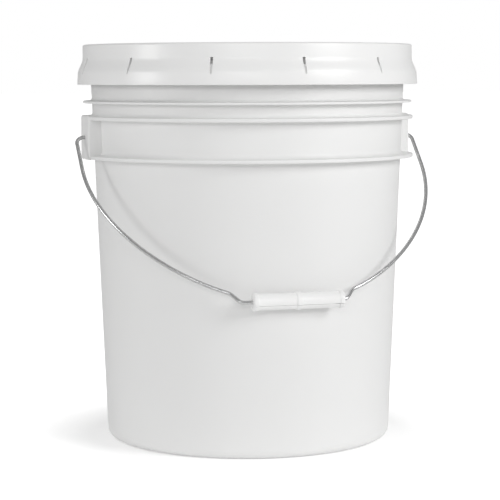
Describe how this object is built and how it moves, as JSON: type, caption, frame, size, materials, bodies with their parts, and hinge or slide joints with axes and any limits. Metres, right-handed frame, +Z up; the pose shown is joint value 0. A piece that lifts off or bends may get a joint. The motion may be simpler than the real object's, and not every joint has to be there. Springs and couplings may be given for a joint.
{
  "type": "plastic fermenting bucket",
  "caption": "Tapered plastic bucket with stacking rings, a lid that snaps over its rim, with a gasket and an airlock grommet, and a wire bail with a turning hand grip.",
  "frame": {"origin": "on the floor, on the bucket's axis", "axes": "+Z up along the bucket's axis, X along the bail's pivot line, -Y towards the side where the bail hangs"},
  "size_m": [0.3314, 0.3186, 0.3683],
  "materials": {
    "pail_plastic": "white HDPE, satin, slightly translucent",
    "lid_plastic": "white HDPE, smoother and glossier than the pail",
    "grip_plastic": "white moulded plastic",
    "seal_rubber": "grey food-grade rubber",
    "bail_steel": "galvanised steel wire, dull with a soft sheen"
  },
  "bodies": {
    "bucket": {"bucket": "pail_plastic"},
    "lid": {"lid": "lid_plastic", "lid_gasket": "seal_rubber", "airlock_grommet": "seal_rubber"},
    "bail": {"bail_wire": "bail_steel"},
    "grip": {"grip": "grip_plastic"}
  },
  "joints": [
    {"name": "bail_swing", "type": "hinge", "parent": "bucket", "child": "bail", "pos_m": [0, 0, 0.28325], "axis": [-1, 0, 0], "range_deg": [0, 266]},
    {"name": "grip_spin", "type": "hinge", "parent": "bail", "child": "grip", "pos_m": [0.0034, -0.14766, 0.14337], "axis": [1, 0, 0], "continuous": true},
    {"name": "lid_lift", "type": "slide", "parent": "bucket", "child": "lid", "axis": [0, 0, 1], "range_m": [0, 0.12]}
  ]
}
